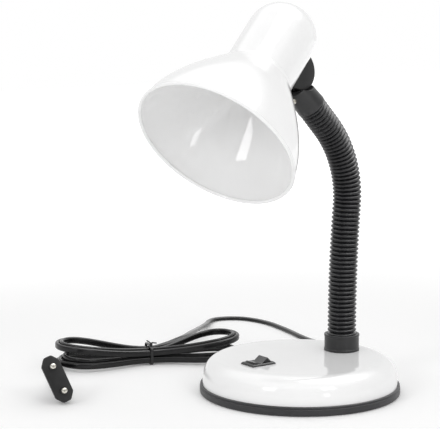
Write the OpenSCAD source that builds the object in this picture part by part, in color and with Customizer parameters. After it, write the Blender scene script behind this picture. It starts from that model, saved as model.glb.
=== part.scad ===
// Desk lamp: weighted round base, ribbed bending neck, bowl shade with a rounded cap.
// The origin is the centre of the base on the table, +Z is up and the switch is towards -Y.

/* [Base] */
// Outer diameter of the trim ring round the foot
base_d = 148; // [140:1:170]
// Height of the trim ring
ring_h = 7; // [5:0.2:7.4]
// How far the trim ring stands proud of the shell
ring_lip = 2; // [1.5:0.5:3]
// Height of the shell's flat top above the table
shell_h = 26.4; // [25:0.2:32]
// Thickness of the pressed steel
sheet_t = 1; // [0.8:0.1:1.2]
// Width of the rolled shoulder, from the shell's edge to its flat top
shoulder_w = 14.5; // [14:0.5:17]
// Thickness of the foam pad that the lamp stands on
pad_t = 2.9; // [2.5:0.1:3.5]
// Distance from the shell's edge to the cast weight
weight_in = 11.5; // [9:0.5:14]
// Thickness of the cast weight
weight_t = 7; // [5:0.5:8]
// Distance from the edge of the weight to the plate screws
screw_in = 12; // [9:0.5:14]
// Number of plate screws
screw_count = 3; // [3:1:4]

/* [Switch] */
// Distance from the shell's edge to the middle of the switch
switch_in = 33.2; // [31:0.1:36]
// Length of the switch flange, front to back
flange_l = 21; // [20:0.5:24]
// Width of the switch flange
flange_w = 15; // [14.5:0.5:18]
// Thickness of the switch flange
flange_t = 1.6; // [1.4:0.1:2]
// Width of the switch body below the flange
switch_w = 12.6; // [12.6:0.1:13.2]
// Depth of the switch body below the flange
switch_depth = 13.4; // [12.8:0.2:13.8]
// Tilt of the rocker to either side of level
rocker_tilt = 12; // [9:1:13]

/* [Neck] */
// Distance from the shell's edge to the neck's axis
neck_in = 31.7; // [30:0.1:34]
// Outer diameter of the ribbed sleeve
sleeve_d = 20.6; // [19:0.2:21]
// Depth of the grooves between ribs
groove = 1.1; // [0.6:0.1:1.4]
// Distance from rib to rib
rib_pitch = 3.24; // [3:0.02:3.4]
// Bore of the ribbed sleeve
sleeve_bore = 13.2; // [12:0.2:15]
// Outer diameter of the bending steel core
core_d = 9; // [8:0.2:10]
// Bore of the steel core, for the wires
core_bore = 5.2; // [4:0.2:5.6]
// Length of the first bend, which leans back
lean_back_l = 88; // [70:1:100]
// How far the first bend leans back, in degrees
lean_back = 4.6; // [0:0.1:8]
// How far the neck leans forward at its top, in degrees
neck_lean = 43; // [30:1:50]
// Outer diameter of the collar at the neck's foot
collar_d = 26.5; // [25:0.5:28]
// Height of the collar at the neck's foot
collar_h = 12.6; // [12:0.2:16]
// Outer diameter of the collar at the top of the neck
top_collar_d = 22; // [21.4:0.2:23]
// Height of the collar at the top of the neck
top_collar_h = 20; // [18:0.5:21]

/* [Head] */
// Turn of the head about the top of the neck, in degrees
head_turn = 13.4; // [0:0.2:20]
// Distance from the top of the sleeve to the axis of the shade
head_drop = 54.3; // [52:0.1:58]
// Distance along the shade's axis from the neck to the opening
reach_l = 90; // [88:0.5:92]
// Outer radius of the shade at its opening
shade_r = 59; // [56:0.5:64]
// Depth of the bowl, from the opening to the cap
bowl_h = 66; // [64:0.5:68]
// Outer radius of the cap
cap_r = 25.6; // [25:0.1:26.4]
// Distance from the opening to the far end of the cap
shade_l = 129; // [127:0.5:132]
// How far in the rounding at the end of the cap reaches
cap_round = 21; // [18:0.5:24]
// Thickness of the shade's steel
shade_t = 0.9; // [0.7:0.1:1]
// Radius of the rolled bead round the opening
bead_r = 1.3; // [0.9:0.1:1.4]
// Radius of the round bracket that joins neck and cap
knuckle_r = 15.3; // [14.5:0.1:16]
// Thickness of the round bracket
knuckle_t = 10; // [8:0.5:11]
// Inner radius of the lampholder's threaded shell
socket_r = 13.2; // [13.2:0.05:13.3]
// Outer radius of the lampholder body
holder_r = 18.6; // [17:0.2:19]
// Length of the lampholder body
holder_l = 34; // [30:1:38]

/* [Mains lead] */
// Width of the flat twin lead
cord_w = 5; // [4.8:0.1:5.2]
// Thickness of the flat twin lead
cord_t = 3.1; // [2.9:0.05:3.2]
// Height of the cord outlet above the table
outlet_z = 13.3; // [13.2:0.1:14]
// Direction of the cord outlet, in degrees from straight back
outlet_turn = 40.5; // [38:0.5:43]
// Length of the tapered strain relief outside the base
relief_l = 28; // [24:1:30]
// Distance between the two plug pins
pin_gap = 19; // [18.5:0.1:19.5]
// Diameter of a plug pin
pin_d = 4; // [3.9:0.05:4.1]
// Length of a plug pin outside the plug
pin_l = 19; // [18:0.5:20]

/* [Hank] */
// Number of loops in the hank, half of them in each layer
loops = 4; // [4:4:4]
// Half length of the straight runs
run_half = 52; // [48:1:60]
// Radius of the outermost fold
fold_r = 22.6; // [22.6:0.2:28]
// Step from loop to loop at the folds
fold_step = 3.65; // [3.6:0.05:3.8]
// Step from loop to loop at the waist
waist_step = 4.4; // [4.2:0.1:5]
// Gap between the two layers
layer_gap = 0.5; // [0.45:0.05:1]
// How much higher each loop lies than the loop outside it
loop_rise = 1.2; // [0:0.1:1.6]
// How far the folds of the upper layer stand up
fold_lift = 9; // [0:0.5:10]

/* [Hidden] */
$fn = 64;

black = "#1c1c1d";
white = "#f2f2f0";
steel = "#b9bcc0";
brass = "#c8a95a";

// clearances between pieces that sit in or on each other
fit_gap = 0.1;
hole_gap = 0.2;
ball_gap = 0.35;
pin_play = 0.05;

base_r = base_d / 2;
shell_r = base_r - ring_lip;
flat_r = shell_r - shoulder_w;
weight_r = shell_r - weight_in;
screw_circle_r = weight_r - screw_in;
switch_y = shell_r - switch_in;
neck_y = shell_r - neck_in;
pad_top = pad_t;
plate_z = pad_top + fit_gap;
plate_r = shell_r - sheet_t - 0.7;
weight_z = plate_z + sheet_t + fit_gap;
weight_top = weight_z + weight_t;
top_z = shell_h;
under_z = top_z - sheet_t;
ring_floor = 0.4;

// ---- general shapes ----

// a closed skin over rings of points; each ring turns the same way about the direction of travel
module skin(rings, loop = false) {
    n = len(rings);
    m = len(rings[0]);
    last = loop ? n - 1 : n - 2;
    sides = [
        for (i = [0 : last], j = [0 : m - 1])
            let (a = i * m + j, b = i * m + (j + 1) % m, k = ((i + 1) % n) * m)
            each [[a, k + j, k + (j + 1) % m], [a, k + (j + 1) % m, b]]
    ];
    lids = loop ? [] : [
        for (j = [1 : m - 2])
            each [[0, j, j + 1], [(n - 1) * m, (n - 1) * m + j + 1, (n - 1) * m + j]]
    ];
    polyhedron(points = [for (r = rings) each r], faces = concat(sides, lids), convexity = 8);
}

function unit(v) = v / norm(v);

function mix(a, b, t) = a + (b - a) * t;

// direction of a run of points at the point i
function heading(p, i) = unit(p[min(i + 1, len(p) - 1)] - p[max(i - 1, 0)]);

// a smooth curve through the points p, cut into k steps between each two
function smooth(p, k) = [
    for (i = [0 : len(p) - 2], j = [0 : k - 1])
        let (a = p[max(i - 1, 0)], b = p[i], c = p[i + 1], d = p[min(i + 2, len(p) - 1)], t = j / k)
        (2 * b + (c - a) * t + (2 * a - 5 * b + 4 * c - d) * t * t + (3 * b - a - 3 * c + d) * t * t * t) / 2,
    p[len(p) - 1]
];

// rings of a flat lead along p: w across, h high, rolled by roll[0] to roll[1] degrees from late[0] to
// late[1] of the run
function lead_rings(p, w, h, sides, roll = [0, 0], late = [0.82, 0.94]) = [
    for (i = [0 : len(p) - 1])
        let (
            t = heading(p, i),
            side = unit(cross([0, 0, 1], t)),
            up = cross(t, side),
            k = min(max((i / (len(p) - 1) - late[0]) / (late[1] - late[0]), 0), 1),
            r = mix(roll[0], roll[1], k * k * (3 - 2 * k)),
            across = side * cos(r) + up * sin(r),
            high = up * cos(r) - side * sin(r)
        )
        [for (j = [0 : sides - 1])
            let (f = 90 + 360 * j / sides)
            p[i] + across * (w / 2 * cos(f)) + high * (h / 2 * sin(f))]
];

// a rounded rectangle, w along X and h along Y, as a flat shape
module round_rect(w, h, r) {
    square([w - 2 * r, h], center = true);
    square([w, h - 2 * r], center = true);
    for (x = [-1, 1], y = [-1, 1])
        translate([x * (w / 2 - r), y * (h / 2 - r)]) circle(r);
}

module tube(r_out, r_in, h) {
    difference() {
        cylinder(r = r_out, h = h);
        translate([0, 0, -1]) cylinder(r = r_in, h = h + 2);
    }
}

// ---- base ----

// half outline of the shell: an upright wall that rolls over to the flat top
shoulder_z = ring_h + 2.5;
round_power = 2.4;

function shell_line(r_wall, r_top, z_top) = [
    for (i = [0 : 16])
        let (a = 90 * i / 16)
        [r_top + (r_wall - r_top) * pow(cos(a), 2 / round_power),
         shoulder_z + (z_top - shoulder_z) * pow(sin(a), 2 / round_power)]
];

shell_foot = pad_top + fit_gap;
stud_r = 5;
stud_hole_r = stud_r + hole_gap;
// the switch body's length, front to back
body_l = flange_l - 2.4;
grip_neck_r = 4.4;
grip_flange_r = 5.5;
grip_inside = 3.5;
washer_t = 1.2;
nut_h = 5;
stud_foot = under_z - washer_t - nut_h - 2;

module at_outlet() {
    rotate([0, 0, outlet_turn]) translate([0, shell_r, outlet_z]) rotate([-90, 0, 0]) children();
}

module base_shell() {
    outer = concat(
        [[0, shell_foot], [shell_r, shell_foot]],
        shell_line(shell_r, flat_r, top_z), [[0, top_z]]
    );
    inner = concat(
        [[0, shell_foot - 1], [shell_r - sheet_t, shell_foot - 1]],
        shell_line(shell_r - sheet_t, flat_r - sheet_t, under_z), [[0, under_z]]
    );
    color(white) difference() {
        rotate_extrude($fn = 128) polygon(outer);
        rotate_extrude($fn = 128) polygon(inner);
        translate([0, neck_y, 0]) cylinder(r = stud_hole_r, h = top_z + 1);
        translate([0, -switch_y, top_z])
            cube([switch_w + 2 * hole_gap, body_l + 2 * hole_gap, 8], center = true);
        at_outlet() translate([0, 0, -6]) cylinder(r = grip_neck_r + hole_gap, h = 12);
    }
}

module base_ring() {
    color("#3c3c3e") rotate_extrude($fn = 128) polygon([
        [shell_r - 5, ring_floor], [base_r - 0.5, ring_floor], [base_r, ring_floor + 0.5],
        [base_r, ring_h - 0.6], [base_r - 0.6, ring_h], [shell_r + fit_gap, ring_h],
        [shell_r + fit_gap, pad_top], [shell_r - 5, pad_top]
    ]);
}

// the plate screws' places
module at_plate_screws() {
    for (i = [0 : screw_count - 1])
        rotate([0, 0, 30 + 360 / screw_count * i]) translate([screw_circle_r, 0, 0]) children();
}

screw_r = 2;
screw_head_r = 3.8;

module base_weight() {
    color("#55565a") difference() {
        translate([0, 0, weight_z]) cylinder(r = weight_r, h = weight_t);
        at_plate_screws() cylinder(r = screw_r + fit_gap, h = weight_top + 1);
        translate([0, -switch_y, weight_z + weight_t / 2])
            cube([switch_w + 8, body_l + 6, weight_t + 2], center = true);
    }
}

module bottom_plate() {
    color(steel) difference() {
        translate([0, 0, plate_z]) cylinder(r = plate_r, h = sheet_t);
        at_plate_screws() cylinder(r = screw_r + fit_gap, h = plate_z + 5);
    }
}

module foot_pad() {
    color("#2a2a2c") difference() {
        cylinder(r = shell_r - 5 - hole_gap, h = pad_top);
        at_plate_screws() translate([0, 0, -1]) cylinder(r = screw_head_r + 0.5, h = pad_t + 2);
    }
}

module plate_screws() {
    color(steel) at_plate_screws() {
        translate([0, 0, plate_z]) cylinder(r = screw_r, h = weight_t + sheet_t - 0.5);
        difference() {
            translate([0, 0, plate_z - 1.7]) cylinder(r = screw_head_r, h = 1.7);
            for (a = [0, 90])
                translate([0, 0, plate_z - 1.7]) rotate([0, 0, a]) cube([4.2, 0.9, 1.6], center = true);
        }
    }
}

// ---- switch ----

pocket_w = switch_w - 1.8;
pocket_r = body_l / 2 - 0.8;
pivot_z = top_z - 1.8;
switch_floor = top_z - switch_depth;
pocket_floor = switch_floor + 3;
pivot_r = 1.2;
rocker_w = pocket_w - 0.4;
rocker_r = pocket_r - 0.3;
// height of the rocker's two ridges, and of the valley between them, above the pivot
ridge_up = 5.7;
valley_up = 3.1;

module at_switch() {
    translate([0, -switch_y, 0]) children();
}

module switch_housing() {
    color(black) at_switch() difference() {
        union() {
            translate([0, 0, top_z]) linear_extrude(flange_t) round_rect(flange_w, flange_l, 0.8);
            translate([0, 0, switch_floor + switch_depth / 2])
                cube([switch_w, body_l, switch_depth], center = true);
        }
        translate([0, 0, pocket_floor + 15]) cube([pocket_w, 2 * pocket_r, 30], center = true);
        translate([-(switch_w / 2 - 0.2), 0, pivot_z]) rotate([0, 90, 0])
            cylinder(r = pivot_r + pin_play, h = switch_w - 0.4);
    }
}

module switch_rocker() {
    ridge_y = sqrt(rocker_r * rocker_r - ridge_up * ridge_up);
    color("#222223") at_switch() translate([0, 0, pivot_z]) rotate([rocker_tilt, 0, 0]) {
        intersection() {
            rotate([0, 90, 0]) cylinder(r = rocker_r, h = rocker_w, center = true, $fn = 96);
            rotate([90, 0, 90]) linear_extrude(rocker_w, center = true) polygon([
                [-rocker_r, -3.2], [rocker_r, -3.2], [rocker_r, ridge_up - 1.2],
                [ridge_y, ridge_up], [0, valley_up], [-ridge_y, ridge_up],
                [-rocker_r, ridge_up - 1.2]
            ]);
        }
        rotate([0, 90, 0]) cylinder(r = pivot_r, h = pocket_w + 1.2, center = true);
    }
}

tab_gap = 5;

module switch_terminals() {
    color(brass) at_switch() for (y = [-tab_gap, tab_gap])
        translate([0, y, switch_floor - 2.6]) cube([4.8, 0.8, 5.2], center = true);
}

block_x = 26;
block_y = 22;
block_h = 9;

module terminal_block() {
    color("#d9d8d2") difference() {
        translate([block_x, block_y, weight_top + fit_gap + block_h / 2])
            cube([16, 11, block_h], center = true);
        for (x = [-4, 4])
            translate([block_x + x, block_y, weight_top + block_h - 3]) cylinder(r = 1.7, h = 8);
    }
}

wire_r = 1;

module wire(p) {
    skin(lead_rings(smooth(p, 3), 2 * wire_r, 2 * wire_r, 6));
}

// wires: outlet to block, block to switch, block to neck
module base_wires() {
    out = [-sin(outlet_turn), cos(outlet_turn), 0];
    grip = [0, 0, outlet_z] + out * (shell_r - grip_inside - 2.4);
    block_side = [block_x - 8.2, block_y, weight_top + 4];
    tab = [2.6, -switch_y + tab_gap, switch_floor - 2.7];
    color("#8a5a3a") {
        wire([
            grip, grip - out * 8, [-30, 32, weight_top + 4], [-12, 22, weight_top + 4],
            block_side - [9, 0, 0], block_side
        ]);
        wire([
            [block_x - 3, block_y - 5.7, weight_top + 4], [block_x - 4, block_y - 14, weight_top + 3.4],
            [19, -10, weight_top + 3], [16, -24, weight_top + 2.6], [11.5, -30.5, weight_top + 1.8],
            [7.5, -33.2, weight_top - 0.4], tab + [2.5, 0, 0], tab
        ]);
        wire([
            block_side + [0, 3.6, 0], block_side + [-5, 5, 0], [7, 33, weight_top + 3],
            [3, neck_y - 3, weight_top + 2], [0.5, neck_y - 0.3, stud_foot - 2], [0, neck_y, stud_foot - 0.2]
        ]);
    }
}

// ---- neck ----

collar_floor = 1.2;
sleeve_z = top_z + collar_floor;
collar_top = top_z + collar_h;
sleeve_r = sleeve_d / 2;
groove_r = sleeve_r - groove;
bore_r = sleeve_bore / 2;
core_r = core_d / 2;
stud_top = sleeve_z + 5;

// ribs below the first joint, in each link and above the last joint
foot_ribs = 7;
link_ribs = 6;
top_ribs = 5;
joints = 9;
ribs = foot_ribs + link_ribs * (joints - 1) + top_ribs;
neck_l = ribs * rib_pitch;
// the sleeve's two ends run straight for one diameter
main_l = neck_l - 2 * sleeve_d - lean_back_l;
bends = [[sleeve_d, 0], [lean_back_l, -lean_back], [main_l, neck_lean + lean_back], [sleeve_d, 0]];

// the neck's curve at the length s: [y, z, lean], walking through the bends
function neck_at(s, i = 0, y = neck_y, z = sleeve_z, lean = 0) =
    let (
        full = bends[i][0],
        go = i == len(bends) - 1 ? s : min(s, full),
        turn = bends[i][1] * go / full,
        r = turn == 0 ? 0 : go / (turn * PI / 180),
        y1 = turn == 0 ? y - go * sin(lean) : y - r * (cos(lean) - cos(lean + turn)),
        z1 = turn == 0 ? z + go * cos(lean) : z + r * (sin(lean + turn) - sin(lean))
    )
    s <= full || i == len(bends) - 1
        ? [y1, z1, lean + turn]
        : neck_at(s - full, i + 1, y1, z1, lean + turn);

// length along the neck of the joint k, and its place
function joint_s(k) = (foot_ribs + link_ribs * k) * rib_pitch;
function joint_at(k) = let (p = neck_at(joint_s(k))) [0, p[0], p[1]];

neck_end = neck_at(neck_l);

// a ring of the sleeve, 8 sided
function sleeve_ring(s, r) =
    let (p = neck_at(s), across = [0, cos(p[2]), sin(p[2])])
    [for (j = [0 : 7]) [0, p[0], p[1]] + [r * cos(45 * j), 0, 0] + across * (r * sin(45 * j))];

// a stretch of sleeve from rib a to rib b, with its bore
module sleeve(a, b) {
    outer = [for (i = [2 * a : 2 * b]) sleeve_ring(i * rib_pitch / 2, i % 2 == 0 ? groove_r : sleeve_r)];
    steps = 4;
    inner = [for (i = [0 : steps]) sleeve_ring(mix(b, a, i / steps) * rib_pitch, bore_r)];
    color("#29292b") skin(concat(outer, inner), loop = true);
}

module neck_sleeve(k) {
    a = k == 0 ? 0 : foot_ribs + link_ribs * (k - 1);
    sleeve(a, k == joints ? ribs : foot_ribs + link_ribs * k);
}

// one rigid link of the bending core: a socket round the last ball, a bored rod and a ball
module core_link(from, to, socket = true, ball = true) {
    d = to - from;
    color(steel) translate(from) rotate([atan2(-d[1], d[2]), 0, 0]) difference() {
        union() {
            cylinder(r = core_r, h = norm(d));
            if (ball) translate([0, 0, norm(d)]) sphere(r = core_r);
        }
        if (socket) sphere(r = core_r + ball_gap);
        translate([0, 0, -1]) cylinder(r = core_bore / 2, h = norm(d) + 2 * core_r);
    }
}

module neck_core(k) {
    if (k == 0) core_link([0, neck_y, stud_top], joint_at(0), socket = false);
    else if (k < joints) core_link(joint_at(k - 1), joint_at(k));
    else core_link(joint_at(k - 1), [0, neck_end[0], neck_end[1]], ball = false);
}

module at_neck() {
    translate([0, neck_y, 0]) children();
}

module neck_collar() {
    color(black) at_neck() difference() {
        rotate_extrude() polygon([
            [0, top_z], [collar_d / 2, top_z], [collar_d / 2, collar_top - 0.8],
            [collar_d / 2 - 0.8, collar_top], [0, collar_top]
        ]);
        translate([0, 0, top_z - 1]) cylinder(r = stud_hole_r, h = collar_h + 2);
        translate([0, 0, sleeve_z]) cylinder(r = sleeve_r + hole_gap, h = collar_h);
    }
}

module neck_stud() {
    color(steel) at_neck() translate([0, 0, stud_foot]) tube(stud_r, core_bore / 2, stud_top - stud_foot);
}

module neck_washer() {
    color(steel) at_neck() translate([0, 0, under_z - washer_t]) tube(10, stud_hole_r, washer_t);
}

module neck_nut() {
    color(steel) at_neck() translate([0, 0, under_z - washer_t - nut_h]) difference() {
        cylinder(r = 9.8, h = nut_h, $fn = 6);
        translate([0, 0, -1]) cylinder(r = stud_r + fit_gap, h = nut_h + 2, $fn = 64);
    }
}

// ---- head ----

// the top of the sleeve, with +Z along the neck and -Y along the shade's axis
module at_head() {
    translate([0, neck_end[0], neck_end[1]]) rotate([neck_end[2], 0, 0]) rotate([0, 0, head_turn]) children();
}

// the shade's own place: the origin is the middle of the opening, +Z runs to the cap, +Y to the neck
module at_shade() {
    at_head() translate([0, -reach_l, head_drop]) rotate([-90, 0, 0]) children();
}

// the knuckle's centre in the shade's place
knuckle_z = reach_l + 9;
knuckle_y = cap_r + 0.9;
passage_r = 3;

module at_knuckle() {
    translate([0, knuckle_y, knuckle_z]) children();
}

collar_screw_y = head_drop - 16.4;

module top_collar() {
    seat_r = knuckle_r + fit_gap;
    color(black) difference() {
        at_head() difference() {
            rotate_extrude() polygon([
                [0, 0], [top_collar_d / 2 - 0.4, 0], [top_collar_d / 2, 0.4],
                [top_collar_d / 2 - 0.9, top_collar_h - 0.6], [top_collar_d / 2 - 1.5, top_collar_h],
                [0, top_collar_h]
            ]);
            translate([0, 0, -1]) cylinder(r = passage_r, h = top_collar_h + 2);
        }
        at_shade() at_knuckle() rotate([0, 90, 0])
            cylinder(r = seat_r, h = 2 * top_collar_d, center = true, $fn = 96);
        at_shade() translate([0, collar_screw_y, reach_l - 20]) cylinder(r = 1.5 + fit_gap, h = 17);
        at_shade() translate([0, collar_screw_y, reach_l - 20])
            cylinder(r = 2.8, h = 20 - top_collar_d / 2 + 1.6);
    }
}

module collar_screw() {
    head_z = reach_l - top_collar_d / 2 - 0.2;
    color(steel) at_shade() translate([0, collar_screw_y, 0]) {
        difference() {
            translate([0, 0, head_z]) cylinder(r = 2.5, h = 1.7);
            translate([0, 0, head_z]) cube([5, 0.8, 1.2], center = true);
        }
        translate([0, 0, head_z + 1.7]) cylinder(r = 1.5, h = 6.2);
    }
}

bracket_screw_z = [knuckle_z - 3.4, knuckle_z + 4.6];
// where the cap's straight wall ends and its rounding begins
dome_z = knuckle_z + 7;
strap_w = 10;
strap_t = 1;
strap_y = cap_r - shade_t - strap_t - 0.8;

module head_bracket() {
    color(black) at_shade() difference() {
        at_knuckle() rotate([0, 90, 0])
            cylinder(r = knuckle_r, h = knuckle_t, center = true, $fn = 96);
        cylinder(r = cap_r + fit_gap, h = shade_l, $fn = 128);
        translate([0, 0, reach_l]) rotate([-90, 0, 0]) cylinder(r = passage_r - 0.6, h = head_drop);
        for (z = bracket_screw_z)
            translate([0, 0, z]) rotate([-90, 0, 0]) cylinder(r = screw_r + pin_play, h = cap_r + 9);
    }
}

module bracket_screws() {
    color(steel) at_shade() for (z = bracket_screw_z)
        translate([0, strap_y - 1.8, z]) rotate([-90, 0, 0]) {
            difference() {
                cylinder(r = 3.4, h = 1.8);
                cube([4, 0.9, 1.8], center = true);
            }
            translate([0, 0, 1.8]) cylinder(r = screw_r, h = cap_r + 8 - strap_y);
        }
}

// half outline of the shade: a bowl whose wall steepens to the rim, then the cap and its rounding
bowl_power = 1.6;
wall_power = 1.1;
bowl_steps = 22;
cap_steps = 10;

function bowl_r(z, r_rim, r_cap) = r_cap + (r_rim - r_cap) * pow(1 - pow(z / bowl_h, bowl_power), wall_power);

function shade_line(inset) = concat(
    [for (i = [0 : bowl_steps]) let (z = bowl_h * i / bowl_steps) [bowl_r(z, shade_r, cap_r) - inset, z]],
    [for (i = [0 : cap_steps]) let (a = 90 * i / cap_steps)
        [cap_r - cap_round + (cap_round - inset) * cos(a), dome_z + (shade_l - dome_z - inset) * sin(a)]]
);

module shade() {
    color(white) at_shade() difference() {
        union() {
            rotate_extrude($fn = 128) polygon(concat([[0, 0]], shade_line(0), [[0, shade_l]]));
            rotate_extrude($fn = 128) translate([shade_r - 0.5, 0]) circle(r = bead_r, $fn = 24);
            // soft step where the bowl meets the cap
            rotate_extrude($fn = 128) translate([cap_r, bowl_h]) circle(r = 0.9, $fn = 24);
        }
        rotate_extrude($fn = 128)
            polygon(concat(
                [[0, -5], [shade_r - shade_t, -5]], shade_line(shade_t), [[0, shade_l - shade_t]]
            ));
        for (z = bracket_screw_z)
            translate([0, 0, z]) rotate([-90, 0, 0]) cylinder(r = screw_r + hole_gap, h = cap_r + 3);
        translate([0, 0, reach_l]) rotate([-90, 0, 0]) cylinder(r = passage_r, h = cap_r + 3);
    }
}

// lampholder: its mouth is towards the opening
holder_back = dome_z + 1.4;
holder_front = holder_back - holder_l;
shell_back = holder_back - 9;
shell_t = 0.8;

module holder_strap() {
    // the strap runs along the cap's wall and turns in behind the lampholder
    front = bracket_screw_z[0] - 5;
    back = holder_back + fit_gap;
    color(steel) at_shade() difference() {
        union() {
            translate([-strap_w / 2, strap_y, front]) cube([strap_w, strap_t, back + strap_t - front]);
            translate([-strap_w / 2, -8, back]) cube([strap_w, strap_y + 8 + strap_t, strap_t]);
        }
        for (z = bracket_screw_z)
            translate([0, 0, z]) rotate([-90, 0, 0]) cylinder(r = screw_r + fit_gap, h = cap_r);
        cylinder(r = screw_r + fit_gap, h = shade_l);
    }
}

module holder_screw() {
    color(steel) at_shade() translate([0, 0, holder_back + fit_gap + strap_t]) {
        difference() {
            cylinder(r = 3.4, h = 1.8);
            translate([0, 0, 1.8]) cube([4, 0.9, 1.8], center = true);
        }
        translate([0, 0, -5.5]) cylinder(r = screw_r, h = 5.5);
    }
}

module lampholder_body() {
    color("#e6e3da") at_shade() difference() {
        translate([0, 0, holder_front]) rotate_extrude($fn = 96) polygon([
            [0, 0], [holder_r, 0], [holder_r, 4], [holder_r - 0.8, 4.6], [holder_r - 0.8, holder_l - 8],
            [holder_r - 4, holder_l], [0, holder_l]
        ]);
        translate([0, 0, holder_front - 1])
            cylinder(r = socket_r + shell_t + fit_gap, h = shell_back - holder_front + 1);
        translate([0, 0, shell_back - 1]) cylinder(r = screw_r + pin_play, h = 20);
        for (x = [-8, 8]) translate([x, 0, shell_back - 1]) cylinder(r = 1.6, h = 20);
    }
}

contact_r = 9;
contact_w = 6;
contact_t = 1.2;

// the threaded shell ends before the centre contact
module lampholder_shell() {
    shell_end = shell_back - fit_gap - 3 * contact_t - 0.3;
    color(brass) at_shade() translate([0, 0, holder_front + 3])
        tube(socket_r + shell_t, socket_r, shell_end - holder_front - 3);
}

module lampholder_contact() {
    color(brass) at_shade() translate([0, 0, shell_back - fit_gap]) {
        translate([0, 0, -contact_t]) intersection() {
            cylinder(r = contact_r, h = contact_t);
            cube([2 * contact_r, contact_w, 2 * contact_t], center = true);
        }
        translate([0, 0, -3 * contact_t]) cylinder(r = contact_w / 2, h = 2 * contact_t);
    }
}

// ---- mains lead ----

module cord_grip() {
    flange_t_out = 2;
    inside = grip_inside;
    color(black) at_outlet() difference() {
        rotate_extrude() polygon([
            [0, -inside - 2.2], [grip_neck_r + 1.2, -inside - 2.2], [grip_neck_r + 1.2, -inside],
            [grip_neck_r, -inside], [grip_neck_r, fit_gap], [grip_flange_r, fit_gap],
            [grip_flange_r, flange_t_out], [4.6, flange_t_out + 0.6],
            each [for (i = [0 : 4]) let (z = flange_t_out + 3 + i * (relief_l - 7) / 5, r = 4.4 - i * 0.25)
                each [[r, z], [r - 0.7, z + 0.4], [r - 0.7, z + 1.6], [r - 0.1, z + 2]]],
            [3.1, relief_l], [0, relief_l]
        ]);
        translate([0, 0, -inside - 3]) cylinder(r = 2, h = inside + 4);
    }
}

// the place of the hank's middle on the table, and its direction
hank_x = -143;
hank_y = -38;
hank_turn = 68.9;
tie_t = 0.8;
layer_top = loops / 2;
waist_r = (layer_top + 0.25) * waist_step;
low_z = tie_t + fit_gap + cord_w / 2;
high_z = low_z + cord_w + layer_gap;

// how many loops in from the outside the hank is after u turns
function inward(u) = u <= layer_top ? u : loops - u;

// a turn is half a run, a fold, a run, a fold and half a run
run_u = 1 / 12;
fold_u = 1 / 3;

// share of the folds' lift that the lower layer takes for each loop in from the outside
lower_lift = 0.2;

// 0 in the upper layer and 1 in the lower one; the climb is along the run where the spiral turns back
function lowered(u) = let (t = min(max((u - layer_top + run_u) / (2 * run_u), 0), 1)) t * t * (3 - 2 * t);

// the hank's centreline after u turns, along X
function hank_point(u) =
    let (
        f = u - floor(u),
        s = inward(u),
        r = fold_r - fold_step * s,
        waist = waist_r - waist_step * s,
        near_fold = f >= run_u && f < run_u + fold_u,
        far_fold = f >= 1 - run_u - fold_u && f < 1 - run_u,
        a = near_fold ? 180 * (f - run_u) / fold_u : 180 * (f - 1 + run_u + fold_u) / fold_u,
        x = near_fold ? -run_half - r * sin(a)
            : far_fold ? run_half + r * sin(a)
            : f < run_u ? -run_half * f / run_u
            : f < 0.5 + run_u ? run_half * (f - 0.5) / run_u
            : run_half * (1 - f) / run_u,
        wide = mix(waist, r, (1 - cos(180 * min(abs(x) / run_half, 1))) / 2),
        y = near_fold ? -r * cos(a)
            : far_fold ? r * cos(a)
            : f < run_u || f > 0.5 + run_u ? -wide
            : wide,
        lift = fold_lift * (1 - cos(180 * min(abs(x) / (run_half + fold_r), 1))) / 2,
        low = lowered(u)
    )
    [x, -y, mix(high_z + lift, low_z + lower_lift * lift * max(s, 0), low) + loop_rise * s];

function from_hank(p) = [
    hank_x + p[0] * cos(hank_turn) - p[1] * sin(hank_turn),
    hank_y + p[0] * sin(hank_turn) + p[1] * cos(hank_turn),
    p[2]
];

// where the lead joins the hank and where the tail leaves it, in turns
join_x = 6;
join_u = -join_x / run_half * run_u;
leave_u = loops + run_u + fold_u / 2;
rings_a_loop = 24;

hank_line = [
    for (u = concat([join_u], [for (k = [0 : rings_a_loop * leave_u]) k / rings_a_loop]))
        from_hank(hank_point(u))
];

// the least gap between turns: the distance of two points less the section's reach both ways
function reach(d) = let (h = norm([d[0], d[1]]), v = abs(d[2]), n = norm(d))
    max(cord_w / 2 * v, cord_t / 2 * h * sqrt(3) / 2 + cord_w / 4 * v) / n;

hank_marks = [
    for (i = [0 : len(hank_line) - 2]) each [hank_line[i], (hank_line[i] + hank_line[i + 1]) / 2]
];

hank_gap = min([
    for (i = [0 : len(hank_marks) - 1])
        for (j = [i + rings_a_loop : 1 : len(hank_marks) - 1])
            let (d = hank_marks[j] - hank_marks[i]) norm(d) - 2 * reach(d)
]);

outlet_dir = [-sin(outlet_turn), cos(outlet_turn), 0];
lead_start = outlet_dir * (shell_r + relief_l) + [0, 0, outlet_z];

lead_points = concat(
    [lead_start, lead_start + outlet_dir * 7],
    [
        [-79, 91.5, 11], [-92, 101, 7], [-107, 108, 3.6], [-124, 112, 2], [-143, 116, 1.7],
        [-163, 121, 1.7], [-182, 125, 1.7], [-200, 127.5, 1.7], [-217, 126.5, 1.7], [-231, 121.5, 1.7],
        [-240, 111.5, 1.7], [-242.5, 99.5, 1.8], [-237, 88.8, 2.1]
    ],
    [for (p = [
        [78.5, 120, 2.8], [70, 102, 4.6], [61.5, 84, 6.7], [53.5, 66.5, 9], [46, 50, 11.1],
        [39.3, 35.5, 12.5], [32.7, 25.2, 12.9], [26, 18.9, 12.1], [19, 15.1, 10.9], [12, 12.5, 9.8]
    ]) from_hank(p)],
    [hank_line[0]]
);

module cord_lead() {
    color(black) skin(lead_rings(smooth(lead_points, 2), cord_t, cord_w, 8, [90, 0]));
}

module cord_hank() {
    color(black) skin(lead_rings(hank_line, cord_t, cord_w, 6));
}

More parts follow.
